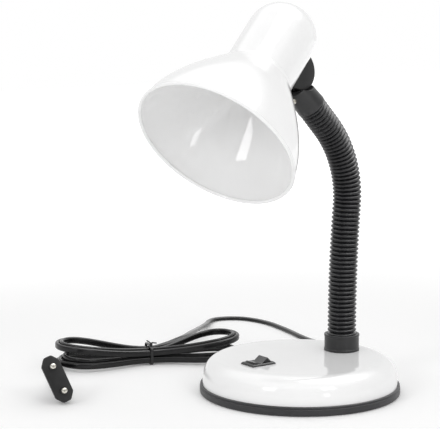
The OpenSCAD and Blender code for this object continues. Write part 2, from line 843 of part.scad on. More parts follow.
plug_x = -73.8;
plug_y = -163.7;
plug_z = 18.6;
plug_turn = -27;
plug_pitch = 15;
plug_tilt = 23;
plug_relief_l = 23;
plug_l = 26;

plug_dir = [cos(plug_turn) * cos(plug_pitch), sin(plug_turn) * cos(plug_pitch), sin(plug_pitch)];
tail_end = [plug_x, plug_y, plug_z] - plug_dir * (plug_l + plug_relief_l);

module cord_tail() {
    hank_end = hank_line[len(hank_line) - 1];
    points = concat(
        [hank_end, hank_end + (hank_end - hank_line[len(hank_line) - 2]) * 0.5],
        [for (p = [[-77.2, -15, 2.9], [-79.8, -29, 2.8], [-83.3, -43.5, 3.1]]) from_hank(p)],
        [tail_end - plug_dir * 5, tail_end]
    );
    color(black) skin(lead_rings(smooth(points, 3), cord_t, cord_w, 8));
}

// the tie goes round the waist of the hank
module hank_tie() {
    far = waist_r + cord_t / 2 + hole_gap;
    near = -waist_r + waist_step / 2 - cord_t / 2 - hole_gap;
    high = high_z + loop_rise * layer_top + cord_w / 2 + fit_gap;
    w = far - near;
    color("#151515") translate([hank_x, hank_y, 0]) rotate([0, 0, hank_turn]) rotate([90, 0, 90])
        linear_extrude(2.2, center = true) {
            translate([(far + near) / 2, (high + tie_t) / 2]) difference() {
                round_rect(w + 2 * tie_t, high + tie_t, 0.8);
                square([w, high - tie_t], center = true);
            }
            for (a = [22, 150])
                translate([near + 6, high + tie_t - 0.5]) rotate(a) square([8, 1]);
        }
}

module at_plug() {
    translate([plug_x, plug_y, plug_z]) rotate([0, -plug_pitch, plug_turn]) rotate([plug_tilt, 0, 0])
        rotate([0, 90, 0]) children();
}

pin_seat = 6;

// the plug's face: a long flat with its corners cut off
module plug_face() {
    polygon([for (s = [1, -1]) each s * [[17.6, -2.9], [17.6, 2.9], [12.3, 6.95], [-12.3, 6.95]]]);
}

module plug_body() {
    color(black) at_plug() difference() {
        union() {
            translate([0, 0, -5]) linear_extrude(5) plug_face();
            hull() {
                translate([0, 0, -6]) linear_extrude(1) plug_face();
                for (s = [-1, 1])
                    translate([s * 4.5, 0, -plug_l]) cylinder(r = 5, h = 1, $fn = 32);
            }
            translate([0, 0, -plug_l - plug_relief_l]) rotate_extrude() polygon([
                [0, 0], [3, 0],
                each [for (i = [0 : 4]) let (z = 2 + i * 4.1, r = 3.2 + i * 0.3)
                    each [[r, z], [r, z + 2.2], [r - 0.6, z + 2.5], [r - 0.6, z + 3.7]]],
                [4.9, plug_relief_l], [0, plug_relief_l]
            ]);
        }
        for (s = [-1, 1])
            translate([s * pin_gap / 2, 0, -pin_seat])
                cylinder(r = pin_d / 2 - 0.5 + fit_gap, h = pin_seat + 1);
    }
}

sleeve_len = 10;

module plug_pins() {
    color("#d8d8d6") at_plug() for (s = [-1, 1]) translate([s * pin_gap / 2, 0, 0]) {
        translate([0, 0, -pin_seat]) cylinder(r = pin_d / 2 - 0.5, h = pin_seat + sleeve_len + 0.1);
        translate([0, 0, sleeve_len]) rotate_extrude() polygon([
            [0, 0], [pin_d / 2, 0], [pin_d / 2, pin_l - sleeve_len - 1],
            [pin_d / 2 - 1, pin_l - sleeve_len], [0, pin_l - sleeve_len]
        ]);
    }
}

module pin_sleeves() {
    color(black) at_plug() for (s = [-1, 1]) translate([s * pin_gap / 2, 0, fit_gap])
        tube(pin_d / 2, pin_d / 2 - 0.5 + pin_play, sleeve_len - 2 * fit_gap);
}

echo(str("least gap of the hank to itself: ", hank_gap, " mm"));
echo(str("top of the neck: ", neck_end));

base_shell();
base_ring();
base_weight();
bottom_plate();
foot_pad();
plate_screws();
switch_housing();
switch_rocker();
switch_terminals();
terminal_block();
base_wires();
neck_collar();
neck_stud();
neck_washer();
neck_nut();
for (k = [0 : joints]) {
    neck_core(k);
    neck_sleeve(k);
}
top_collar();
collar_screw();
head_bracket();
bracket_screws();
shade();
holder_strap();
holder_screw();
lampholder_body();
lampholder_shell();
lampholder_contact();
cord_grip();
cord_lead();
cord_hank();
cord_tail();
hank_tie();
plug_body();
plug_pins();
pin_sleeves();
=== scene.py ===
import bpy
import numpy as np
from mathutils import Matrix


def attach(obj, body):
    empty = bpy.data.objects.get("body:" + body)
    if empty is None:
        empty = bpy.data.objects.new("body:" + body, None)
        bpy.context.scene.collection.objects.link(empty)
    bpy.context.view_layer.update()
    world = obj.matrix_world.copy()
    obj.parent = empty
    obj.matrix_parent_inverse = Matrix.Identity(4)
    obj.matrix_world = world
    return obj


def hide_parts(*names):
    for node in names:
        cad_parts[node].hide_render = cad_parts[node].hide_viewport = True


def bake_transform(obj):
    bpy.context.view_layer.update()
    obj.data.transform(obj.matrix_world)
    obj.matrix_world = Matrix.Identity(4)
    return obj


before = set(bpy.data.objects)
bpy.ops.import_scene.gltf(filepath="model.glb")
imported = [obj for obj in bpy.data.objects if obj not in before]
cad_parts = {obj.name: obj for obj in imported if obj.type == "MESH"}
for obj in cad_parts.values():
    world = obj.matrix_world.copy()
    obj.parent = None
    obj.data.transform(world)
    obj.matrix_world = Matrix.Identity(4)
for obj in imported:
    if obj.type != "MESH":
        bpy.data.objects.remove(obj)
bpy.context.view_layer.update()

MM = 0.001

# ---------------------------------------------------------------- places, in mm


def moved(x, y, z):
    """A move by x, y and z as a 4 by 4 matrix."""
    m = np.eye(4)
    m[:3, 3] = x, y, z
    return m


def turned(axis, degrees):
    """A right-hand turn about the X, Y or Z axis as a 4 by 4 matrix."""
    a = np.radians(degrees)
    i, j = {"X": (1, 2), "Y": (2, 0), "Z": (0, 1)}[axis]
    m = np.eye(4)
    m[i, i] = m[j, j] = np.cos(a)
    m[j, i], m[i, j] = np.sin(a), -np.sin(a)
    return m


def put(points, place):
    """Every point of an array taken to its place: the turn of the matrix times the point, plus its move."""
    return points @ place[:3, :3].T + place[:3, 3]


# the hose is drawn 0.5 mm wider on each side than its solids, which is nearer to the real one's width
RIB, FOOT_RIBS, LINK_RIBS, JOINTS, RIBS = 3.24, 7, 6, 9, 60
NECK_Y, SLEEVE_Z, SLEEVE_R, GROOVE_R, BORE_R = 40.3, 27.6, 10.8, 9.4, 6.6
NECK_L = RIBS * RIB
BENDS = [(20.6, 0.0), (88.0, -4.6), (NECK_L - 129.2, 47.6), (20.6, 0.0)]


def neck_at(s):
    """Place and lean of the neck's axis at the lengths s: in each bend the axis is an arc, whose chord is the
    integral of the sine and cosine of a lean that grows steadily with the length."""
    s = np.asarray(s, float)
    y, z, lean = np.full(s.shape, NECK_Y), np.full(s.shape, SLEEVE_Z), np.zeros(s.shape)
    left = s.copy()
    for i, (length, bend) in enumerate(BENDS):
        go = left if i == len(BENDS) - 1 else np.clip(left, 0, length)
        turn = np.radians(bend) * go / length
        half = np.radians(lean) + turn / 2
        chord = go * np.sinc(turn / 2 / np.pi)
        y, z, lean = y - chord * np.sin(half), z + chord * np.cos(half), lean + np.degrees(turn)
        left = left - go
    return y, z, lean


end_y, end_z, end_lean = (float(v) for v in neck_at(NECK_L))
SWITCH_Y, PIVOT_Z, TOP_Z, OUTLET_TURN, OUTLET_Z = -38.8, 24.6, 26.4, 40.5, 13.3
AT_SWITCH = moved(0, SWITCH_Y, 0)
AT_NECK = moved(0, NECK_Y, 0)
AT_OUTLET = turned("Z", OUTLET_TURN) @ moved(0, 72, OUTLET_Z) @ turned("X", -90)
AT_HEAD = moved(0, end_y, end_z) @ turned("X", end_lean) @ turned("Z", 13.4)
AT_SHADE = AT_HEAD @ moved(0, -90, 54.3) @ turned("X", -90)
AT_HANK = moved(-143, -38, 0) @ turned("Z", 68.9)
AT_PLUG = moved(-73.8, -163.7, 18.6) @ turned("Z", -27) @ turned("Y", -15) @ turned("X", 23) @ turned("Y", 90)

# ---------------------------------------------------------------- camera

camera = bpy.data.objects.new("camera", bpy.data.cameras.new("camera"))
bpy.context.scene.collection.objects.link(camera)
azimuth, rise = np.radians(53.75), np.radians(8.12)
right = np.array([np.cos(azimuth), np.sin(azimuth), 0])
back = np.array([np.sin(azimuth) * np.cos(rise), -np.cos(azimuth) * np.cos(rise), np.sin(rise)])
camera_place = np.eye(4)
aim = np.array([-99.17, -0.5, 121.1])
camera_place[:3, :4] = np.stack([right, np.cross(back, right), back, (aim + 1300 * back) * MM], 1)
camera.matrix_world = Matrix(camera_place.tolist())
camera.data.sensor_fit, camera.data.sensor_width, camera.data.lens = "HORIZONTAL", 36, 136.72
camera.data.clip_end = 50
bpy.context.scene.camera = camera
bpy.context.scene.view_settings.view_transform = "Standard"

# ---------------------------------------------------------------- surfaces


def sheet_of(grid, loop=False, lids=None, around=True, run=None):
    """Points and faces of one closed surface on a grid of rows. Each row is a ring, or an open line if around is
    False, and neighbouring rows are joined by four-sided faces. loop joins the last row to the first. lids are the
    two points that close the first and the last row as fans. run is the length along the rows for the UV map."""
    n, m, _ = grid.shape
    i = np.arange(n if loop else n - 1)[:, None]
    j = np.arange(m if around else m - 1)[None, :]
    a, b = i * m + j, i * m + (j + 1) % m
    c, d = (i + 1) % n * m + (j + 1) % m, (i + 1) % n * m + j
    quads = np.stack(np.broadcast_arrays(a, b, c, d), -1).reshape(-1, 4)
    run = np.arange(n + 1) / n if run is None else np.append(run, run[-1] + run[1]) / MM
    u0, u1 = np.broadcast_to(j / m, a.shape), np.broadcast_to((j + 1) / m, a.shape)
    v0, v1 = np.broadcast_to(run[i], a.shape), np.broadcast_to(run[i + 1], a.shape)
    quad_uv = np.stack([u0, v0, u1, v0, u1, v1, u0, v1], -1).reshape(-1, 2)
    points, fans, fan_uv = grid.reshape(-1, 3), np.zeros((0, 3), int), np.zeros((0, 2))
    if lids is not None:
        points = np.concatenate([points, lids])
        k = np.arange(m)
        k1 = (k + 1) % m
        low = np.stack([np.full(m, n * m), k1, k], -1)
        high = np.stack([np.full(m, n * m + 1), (n - 1) * m + k, (n - 1) * m + k1], -1)
        fans = np.concatenate([low, high])
        ends = np.repeat([run[0], run[n - 1]], 3 * m)
        fan_uv = np.stack([np.tile(np.stack([k + 0.5, k + 1, k], -1).reshape(-1) / m, 2), ends], -1)
    return points, quads, fans, quad_uv, fan_uv


def piece(name, sheets, look, place=None, body=None, replaces=(), crease=38):
    """One mesh object from sheets in mm, with its faces pointing outwards: a sheet whose signed volume, the sum of
    the triple products of its triangles, comes out negative has its faces turned round. Edges sharper than crease
    degrees stay sharp."""
    points, quads, fans, quad_uv, fan_uv, base = [], [], [], [], [], 0
    for p, q, t, quv, tuv in sheets:
        p = put(p, np.eye(4) if place is None else place) * MM
        tri = np.concatenate([q[:, [0, 1, 2]], q[:, [0, 2, 3]], t])
        middle = p.mean(0)
        volume = np.einsum("ij,ij->", p[tri[:, 0]] - middle, np.cross(p[tri[:, 1]] - middle, p[tri[:, 2]] - middle))
        if volume < 0:
            q, quv = q[:, ::-1], quv.reshape(-1, 4, 2)[:, ::-1].reshape(-1, 2)
            t, tuv = t[:, ::-1], tuv.reshape(-1, 3, 2)[:, ::-1].reshape(-1, 2)
        points.append(p), quads.append(q + base), fans.append(t + base)
        quad_uv.append(quv), fan_uv.append(tuv)
        base += len(p)
    points, quads, fans = np.concatenate(points), np.concatenate(quads), np.concatenate(fans)
    uv = np.concatenate(quad_uv + fan_uv)
    mesh = bpy.data.meshes.new(name)
    mesh.vertices.add(len(points))
    mesh.vertices.foreach_set("co", points.astype(np.float32).ravel())
    mesh.loops.add(quads.size + fans.size)
    mesh.loops.foreach_set("vertex_index", np.concatenate([quads.ravel(), fans.ravel()]).astype(np.int32))
    mesh.polygons.add(len(quads) + len(fans))
    starts = np.concatenate([np.arange(len(quads)) * 4, quads.size + np.arange(len(fans)) * 3])
    mesh.polygons.foreach_set("loop_start", starts.astype(np.int32))
    mesh.uv_layers.new(name="surface").data.foreach_set("uv", uv.astype(np.float32).ravel())
    mesh.update(calc_edges=True)
    mesh.validate()
    mesh.shade_smooth()
    mesh.set_sharp_from_angle(angle=np.radians(crease))
    mesh.materials.append(look)
    obj = bpy.data.objects.new(name, mesh)
    bpy.context.scene.collection.objects.link(obj)
    if body:
        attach(obj, body)
    if replaces:
        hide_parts(*replaces)
    return obj


def spun(outline, sides=128, loop=False):
    """An outline of radius and height carried once round the Z axis. An outline that starts and ends on the axis is
    closed there by fans; loop joins its last point to its first instead."""
    outline = np.asarray(outline, float)
    a = 2 * np.pi * np.arange(sides) / sides
    ends = None if loop else np.array([[0, 0, outline[0, 1]], [0, 0, outline[-1, 1]]])
    rows = outline if loop else outline[1:-1]
    r, z = rows[:, :1], rows[:, 1:]
    grid = np.stack([r * np.cos(a), r * np.sin(a), np.broadcast_to(z, (len(rows), sides))], -1)
    return sheet_of(grid, loop=loop, lids=ends)


def eased(points, radius, loop=False, steps=6):
    """A line through points with its corners rounded: each corner gives way to a parabola that leaves the two sides
    at the rounding's tangent length, but no further than just under half a side."""
    p = np.asarray(points, float)
    radius = np.broadcast_to(radius, (len(p),))
    before, after = np.roll(p, 1, 0), np.roll(p, -1, 0)
    to_before, to_after = before - p, after - p
    l0, l1 = np.linalg.norm(to_before, axis=1), np.linalg.norm(to_after, axis=1)
    to_before, to_after = to_before / l0[:, None], to_after / l1[:, None]
    half = np.arccos(np.clip((to_before * to_after).sum(1), -1, 1)) / 2
    reach = np.minimum(radius / np.tan(np.clip(half, 0.05, np.pi / 2 - 1e-4)), 0.49 * np.minimum(l0, l1))
    t = np.linspace(0, 1, steps + 1)[None, :, None]
    a, b = p + to_before * reach[:, None], p + to_after * reach[:, None]
    arcs = (1 - t) ** 2 * a[:, None] + 2 * t * (1 - t) * p[:, None] + t * t * b[:, None]
    if loop:
        return arcs.reshape(-1, p.shape[1])
    return np.concatenate([p[:1], arcs[1:-1].reshape(-1, p.shape[1]), p[-1:]])


def swept(path, section, across, high, lids=True):
    """A flat section carried along a path: each of its points goes across and high from the path's point."""
    grid = path[:, None] + section[None, :, :1] * across[:, None] + section[None, :, 1:] * high[:, None]
    run = np.concatenate([[0], np.cumsum(np.linalg.norm(np.diff(path, axis=0), axis=1))]) * MM
    return sheet_of(grid, lids=path[[0, -1]] if lids else None, run=run)


def headings(path):
    """Directions along a path, from the point before to the point after, with the level side and the up side."""
    d = np.gradient(path, axis=0)
    d /= np.linalg.norm(d, axis=1)[:, None]
    side = np.cross([0, 0, 1], d)
    side /= np.linalg.norm(side, axis=1)[:, None]
    return d, side, np.cross(d, side)


def round_wire(path, r, sides=12):
    """A round wire of the radius r along a path, with no twist: its sides are carried from ring to ring."""
    path = np.asarray(path, float)
    d = np.gradient(path, axis=0)
    d /= np.linalg.norm(d, axis=1)[:, None]
    side = np.cross([0.31, 0.22, 0.93], d)
    side /= np.linalg.norm(side, axis=1)[:, None]
    a = 2 * np.pi * np.arange(sides) / sides
    return swept(path, r * np.stack([np.cos(a), np.sin(a)], -1), side, np.cross(d, side))


def smooth(points, steps):
    """A curve through points: between each two it is the cubic whose slope at a point is half the way from the
    point before to the point after."""
    p = np.asarray(points, float)
    a, b, c, d = np.concatenate([p[:1], p[:-2]]), p[:-1], p[1:], np.concatenate([p[2:], p[-1:]])
    t = (np.arange(steps) / steps)[None, :, None]
    a, b, c, d = (v[:, None] for v in (a, b, c, d))
    curve = (2 * b + (c - a) * t + (2 * a - 5 * b + 4 * c - d) * t**2 + (3 * b - a - 3 * c + d) * t**3) / 2
    return np.concatenate([curve.reshape(-1, 3), p[-1:]])


# ---------------------------------------------------------------- finishes


def linear(colour):
    """An sRGB hex colour as linear red, green, blue and alpha."""
    v = np.array([int(colour[i:i + 2], 16) for i in (1, 3, 5)]) / 255
    v = np.where(v <= 0.04045, v / 12.92, ((v + 0.055) / 1.055) ** 2.4)
    return [*v.tolist(), 1.0]


def per(mm):
    """The scale at which a texture on coordinates in metres repeats about every mm millimetres."""
    return 1 / (mm * MM)


def add(tree, kind, values=None, links=None, **settings):
    """Adds a node to a tree, sets its properties and its sockets' values, and links sockets from others' outputs."""
    n = tree.nodes.new(kind)
    for k, v in settings.items():
        setattr(n, k, v)
    for k, v in (values or {}).items():
        n.inputs[k].default_value = v
    for k, (other, output) in (links or {}).items():
        tree.links.new(other.outputs[output], n.inputs[k])
    return n


def finish(name, light, dark, rough, patch_mm, grain_mm, grain_depth, uv=None, grain="noise", **shader):
    """A finish with two close colours in patches of patch_mm, a roughness that wanders between two values with them,
    and a relief of grain_mm across that is grain_depth mm deep. uv stretches the relief along a cord."""
    look = bpy.data.materials.new(name)
    look.use_nodes = True
    tree = look.node_tree
    tree.nodes.clear()
    where = add(tree, "ShaderNodeTexCoord")
    patches = add(tree, "ShaderNodeTexNoise", {"Scale": per(patch_mm), "Detail": 3.0}, {"Vector": (where, "Object")})
    ramp = add(tree, "ShaderNodeValToRGB", links={"Fac": (patches, "Fac")})
    ramp.color_ramp.elements[0].position, ramp.color_ramp.elements[0].color = 0.35, linear(dark)
    ramp.color_ramp.elements[1].position, ramp.color_ramp.elements[1].color = 0.65, linear(light)
    gloss = add(tree, "ShaderNodeMapRange",
                {"From Min": 0.3, "From Max": 0.7, "To Min": rough[0], "To Max": rough[1]},
                {"Value": (patches, "Fac")})
    if uv:
        spot = add(tree, "ShaderNodeMapping", {"Scale": uv}, {"Vector": (where, "UV")})
        source, scale = (spot, "Vector"), 1.0
    else:
        source, scale = (where, "Object"), per(grain_mm)
    if grain == "noise":
        relief, height = add(tree, "ShaderNodeTexNoise", {"Scale": scale, "Detail": 2.0}, {"Vector": source}), "Fac"
    else:
        relief, height = add(tree, "ShaderNodeTexVoronoi", {"Scale": scale}, {"Vector": source}), "Distance"
    bump = add(tree, "ShaderNodeBump", {"Strength": 1.0, "Distance": grain_depth * MM}, {"Height": (relief, height)})
    surface = add(tree, "ShaderNodeBsdfPrincipled", shader,
                  {"Base Color": (ramp, "Color"), "Roughness": (gloss, "Result"), "Normal": (bump, "Normal")})
    add(tree, "ShaderNodeOutputMaterial", links={"Surface": (surface, "BSDF")})
    return look


# stoved gloss enamel, sprayed on pressed steel and baked: a hard white gloss that mirrors lamps, faint orange peel
enamel = finish("stoved_gloss_enamel", "#f6f6f6", "#f3f3f3", (0.04, 0.08), 60, 5, 0.004)
# injection-moulded polypropylene, satin: near black, broad soft highlights, a fine spark-eroded grain
moulding = finish("moulded_polypropylene", "#262627", "#202021", (0.34, 0.44), 9, 0.6, 0.012)
# the bracket is moulded in the same plastic as the collars, but it is coloured darker as a painted shade for its
# faces under the bowl, and its faces are polished a little
bracket_painted_shade_moulding = finish("moulded_bracket_painted_shade", "#0f0f10", "#0b0b0c", (0.3, 0.4), 9, 0.6, 0.01)
# rocker switch in moulded nylon: black with a tighter gloss than the collars
nylon = finish("moulded_nylon", "#19191a", "#131314", (0.22, 0.3), 5, 0.5, 0.008)
# extruded PVC trim: dark grey, dull satin
trim_vinyl = finish("extruded_pvc_trim", "#2f2f31", "#29292b", (0.4, 0.5), 12, 0.8, 0.015)
# blow-moulded soft PVC hose: black, slightly oily gloss that lights the crest of each rib
hose_vinyl = finish("blow_moulded_pvc_hose", "#1a1a1c", "#141416", (0.2, 0.28), 14, 1.2, 0.006)
# extruded PVC cord sheath: black, glossy along its length, with faint drawing lines
cord_vinyl = finish("extruded_pvc_sheath", "#131314", "#0d0d0e", (0.16, 0.24), 12, 1, 0.01, uv=(9.0, 0.06, 1.0),
                    **{"Specular IOR Level": 0.35})
# moulded PVC of plug and strain relief: black, satin
plug_vinyl = finish("moulded_pvc", "#1c1c1d", "#151516", (0.34, 0.44), 8, 0.7, 0.015)
# zinc-plated steel: pale grey metal with cloudy patches
zinc = finish("zinc_plated_steel", "#c6c9cc", "#adb1b6", (0.24, 0.38), 5, 0.5, 0.006, Metallic=1.0)
# nickel-plated brass pins: bright, a little warm
nickel = finish("nickel_plated_brass", "#dcd9d0", "#cfccc3", (0.12, 0.2), 3, 0.4, 0.003, Metallic=1.0)
# rolled brass shell and contacts: yellow metal, drawn, softly polished
brass = finish("drawn_brass", "#d8b566", "#c49c4e", (0.22, 0.34), 4, 0.5, 0.005, Metallic=1.0)
# grey cast iron of the weight: rough sand-cast skin
iron = finish("sand_cast_iron", "#55565a", "#434448", (0.55, 0.7), 9, 1.1, 0.12, Metallic=0.7)
# closed-cell EVA foam of the foot pad: dull black with fine open cells
foam = finish("eva_foam", "#2f2f31", "#262628", (0.8, 0.92), 10, 0.9, 0.08, grain="cells")
# glazed steatite of the lampholder: off-white, smooth glaze
glaze = finish("glazed_steatite", "#ebe7dc", "#e2ddd0", (0.16, 0.26), 12, 3, 0.01)
# polyamide terminal block: milky, satin
polyamide = finish("moulded_polyamide", "#dedcd4", "#d2d0c8", (0.36, 0.46), 6, 0.6, 0.01)
# PVC wire insulation: brown, satin
wire_vinyl = finish("wire_pvc", "#7d4c2e", "#6c3f26", (0.34, 0.44), 5, 0.8, 0.01)

# ---------------------------------------------------------------- mains lead, first of all

LOOPS, RUN, FOLD_R, FOLD_STEP, WAIST_STEP, RUN_U, FOLD_U = 4, 52, 22.6, 3.65, 4.4, 1 / 12, 1 / 3
WAIST_R, LOW, HIGH = 2.25 * WAIST_STEP, 3.4, 8.9


def hank_point(u):
    """Centreline of the hank after u turns. A turn is half a run, a fold, a run, a fold and half a run; the spiral
    steps in for two turns and out again for two, drops a layer along the run between them, is drawn in at the waist
    by a half cosine, and its folds lift by a half cosine too, less in the lower layer."""
    f = u - np.floor(u)
    s = np.where(u <= 2, u, LOOPS - u)
    r, waist = FOLD_R - FOLD_STEP * s, WAIST_R - WAIST_STEP * s
    near = (f >= RUN_U) & (f < RUN_U + FOLD_U)
    far = (f >= 1 - RUN_U - FOLD_U) & (f < 1 - RUN_U)
    a = np.pi * np.where(near, f - RUN_U, f - 1 + RUN_U + FOLD_U) / FOLD_U
    straight = np.where(f < RUN_U, -RUN * f / RUN_U,
                        np.where(f < 0.5 + RUN_U, RUN * (f - 0.5) / RUN_U, RUN * (1 - f) / RUN_U))
    x = np.where(near, -RUN - r * np.sin(a), np.where(far, RUN + r * np.sin(a), straight))
    wide = waist + (r - waist) * (1 - np.cos(np.pi * np.minimum(np.abs(x) / RUN, 1))) / 2
    lower_side = (f < RUN_U) | (f > 0.5 + RUN_U)
    y = np.where(near, -r * np.cos(a), np.where(far, r * np.cos(a), np.where(lower_side, -wide, wide)))
    lift = 9 * (1 - np.cos(np.pi * np.minimum(np.abs(x) / (RUN + FOLD_R), 1))) / 2
    t = np.clip((u - 2 + RUN_U) / (2 * RUN_U), 0, 1)
    t = t * t * (3 - 2 * t)
    z = (HIGH + lift) * (1 - t) + (LOW + 0.2 * lift * np.clip(s, 0, None)) * t + 1.2 * s
    return put(np.stack([x, -y, z], -1), AT_HANK)


join_u, leave_u = -6 / RUN * RUN_U, LOOPS + RUN_U + FOLD_U / 2
hank_u = np.concatenate([[join_u], np.arange(0, 24 * leave_u + 0.01, 0.25) / 24])
hank = hank_point(hank_u)
out = np.array([-np.sin(np.radians(OUTLET_TURN)), np.cos(np.radians(OUTLET_TURN)), 0])
lead_start = out * 100 + [0, 0, OUTLET_Z]
lead = smooth(np.concatenate([
    [lead_start, lead_start + out * 7],
    [[-79, 91.5, 11], [-92, 101, 7], [-107, 108, 3.6], [-124, 112, 2], [-143, 116, 1.7],
     [-163, 121, 1.7], [-182, 125, 1.7], [-200, 127.5, 1.7], [-217, 126.5, 1.7], [-231, 121.5, 1.7],
     [-240, 111.5, 1.7], [-242.5, 99.5, 1.8], [-237, 88.8, 2.1]],
    put(np.array([[78.5, 120, 2.8], [70, 102, 4.6], [61.5, 84, 6.7], [53.5, 66.5, 9], [46, 50, 11.1],
                  [39.3, 35.5, 12.5], [32.7, 25.2, 12.9], [26, 18.9, 12.1], [19, 15.1, 10.9], [12, 12.5, 9.8]]),
        AT_HANK),
    hank[:1]]), 6)
plug_axis = AT_PLUG[:3, 2]
tail_end = put(np.array([0, 0, -49.0]), AT_PLUG)
tail = smooth(np.concatenate([
    [hank[-1], hank[-1] + (hank[-1] - hank[-2]) * 2],
    put(np.array([[-77.2, -15, 2.9], [-79.8, -29, 2.8], [-83.3, -43.5, 3.1]]), AT_HANK),
    [tail_end - plug_axis * 5, tail_end]]), 6)
cord_line = np.concatenate([lead[:-1], hank, tail[1:]])
# the lead leaves its grip lying flat and rolls on edge just before it reaches the hank
late = np.clip((np.linspace(0, 1, len(lead) - 1) - 0.82) / 0.12, 0, 1)
roll = np.radians(np.concatenate([90 - 90 * late**2 * (3 - 2 * late), np.zeros(len(hank) + len(tail) - 1)]))[:, None]
_, level, upright = headings(cord_line)
across, high = level * np.cos(roll) + upright * np.sin(roll), upright * np.cos(roll) - level * np.sin(roll)
# two cores side by side under one sheath: two half rounds of 3.1 mm, 5 mm across, and a shallow waist between them
arc = np.radians(np.linspace(0, 180, 11))
half_sheath = np.stack([1.55 * np.cos(arc), 0.95 + 1.55 * np.sin(arc)], -1)
twin = np.concatenate([half_sheath, [[-1.42, 0]], -half_sheath, [[1.42, 0]]])
mains_lead = piece("mains_lead", [swept(cord_line, twin, across, high)], cord_vinyl, body="base",
                   replaces=("cord_lead", "cord_hank", "cord_tail"), crease=60)

# ---------------------------------------------------------------- plug, pins, tie and strain relief


def soft_polygon(edges, angles, power):
    """Reach of a polygon with soft corners in each direction: the soft least, by a power mean, of the distances to
    its edges, where an edge is the direction that it faces, in degrees, and its distance."""
    face, far = np.radians(np.array(edges)[:, 0]), np.array(edges)[:, 1]
    pull = np.clip(np.cos(angles[:, None] - face), 0, None) / far
    return (pull**power).sum(1) ** (-1 / power)


turn = 2 * np.pi * np.arange(96) / 96
face_edges = [(s * 52.5 + b, 13.0) for s in (1, -1) for b in (0, 180)]
face_reach = soft_polygon(face_edges + [(0, 17.6), (180, 17.6), (90, 6.95), (270, 6.95)], turn, 60)
tail_edges = [(0, 9.5), (180, 9.5), (90, 5), (270, 5), (45, 8), (135, 8), (225, 8), (315, 8)]
tail_reach = soft_polygon(tail_edges, turn, 10)


def plug_surface():
    """The plug's reach, blended along its depth from the six-sided face to an oval, by a smooth step, with its face
    edge rounded by a quarter circle, and then a tapering relief whose rings are cut by a squared cosine."""
    edge_turn = np.linspace(0, np.pi / 2, 6)
    depth = np.concatenate([-0.7 + 0.7 * np.cos(edge_turn), [-3, -5.6, -6], np.linspace(-6.4, -25.2, 22)])
    t = np.clip((-depth - 6) / 20, 0, 1)[:, None]
    t = t * t * (3 - 2 * t)
    inset = np.concatenate([-0.7 * (1 - np.sin(edge_turn)), np.zeros(25)])[:, None]
    body = face_reach * (1 - t) + tail_reach * t + inset
    close = np.array([-25.7, -26.0, -26.1])
    closing = tail_reach[None] * np.array([0.96, 0.86, 0.7])[:, None]
    reach = np.concatenate([body, closing])
    z = np.concatenate([depth, close])
    grid = np.stack([reach * np.cos(turn), reach * np.sin(turn), np.broadcast_to(z[:, None], reach.shape)], -1)
    return sheet_of(grid, lids=np.array([[0, 0, 0], [0, 0, -26.1]]))


s = np.linspace(0, 1, 90)
relief_r = 4.9 - 1.8 * s - 0.7 * np.clip(np.cos(2 * np.pi * 5.5 * s) - 0.1, 0, 1) ** 0.5 * (s > 0.06) * (s < 0.96)
relief = np.concatenate([[[0, -25.4]], np.stack([relief_r, -25.4 - 23.4 * s], -1),
                         [[3.0, -49], [2.6, -49], [0, -49]]])
plug = piece("plug_moulding", [plug_surface(), spun(relief, 40)], plug_vinyl, AT_PLUG, "base", ("plug_body",))

tip = eased([[0, -6], [1.45, -6], [1.45, 9.9], [2.0, 10.0], [2.0, 18.2], [0.9, 19], [0, 19]],
            [0, 0.1, 0.05, 0.1, 1.2, 0.5, 0])


def pair(sheet, gap):
    """The same sheet twice, half of gap to each side along X."""
    return [(sheet[0] + [s * gap / 2, 0, 0], *sheet[1:]) for s in (1, -1)]


prongs = piece("prongs", pair(spun(tip, 40), 19), nickel, AT_PLUG, "base", ("plug_pins",))
sock = eased([[1.56, 0.1], [1.98, 0.1], [1.98, 9.9], [1.56, 9.9]], 0.1, loop=True, steps=3)
socks = piece("prong_sleeves", pair(spun(sock, 40, loop=True), 19), plug_vinyl, AT_PLUG, "base", ("pin_sleeves",))

# the tie is a flat band round the waist, and its two ends are twisted together on top
band_line = eased([[-9.85, 0.42], [12.05, 0.42], [12.05, 14.3], [-9.85, 14.3]], 3.2, loop=True, steps=10)
band_way = np.roll(band_line, -1, 0) - np.roll(band_line, 1, 0)
band_way /= np.linalg.norm(band_way, axis=1)[:, None]
band_off = np.stack([band_way[:, 1], -band_way[:, 0]], -1)
flat = eased([[1.1, 0.38], [-1.1, 0.38], [-1.1, -0.38], [1.1, -0.38]], 0.3, loop=True, steps=3)
band = np.stack([np.broadcast_to(flat[:, 0], (len(band_line), len(flat))),
                 band_line[:, :1] + band_off[:, :1] * flat[:, 1],
                 band_line[:, 1:] + band_off[:, 1:] * flat[:, 1]], -1)


def twist(phase, end):
    """One end of the tie: a helix of 0.75 mm radius for two turns that rises from the band, and then a curl."""
    t = np.linspace(0, 1, 40)[:, None]
    a = 2 * np.pi * 2 * t + phase
    coil = np.array([0, -5.6, 14.2]) + np.array([0.2, 0.5, 3.2]) * t + 0.72 * np.hstack([np.cos(a), np.sin(a), 0 * a])
    loose = coil[-1] + np.array(end) * np.linspace(0.08, 1, 12)[:, None] ** [[1, 1, 0.7]]
    return round_wire(np.concatenate([coil, loose]), 0.55, 10)


tie = piece("twist_tie", [sheet_of(band, loop=True), twist(0, (2.6, -4.2, 0.4)), twist(np.pi, (-1.6, 4.4, 0.9))],
            plug_vinyl, AT_HANK, "base", ("hank_tie",))

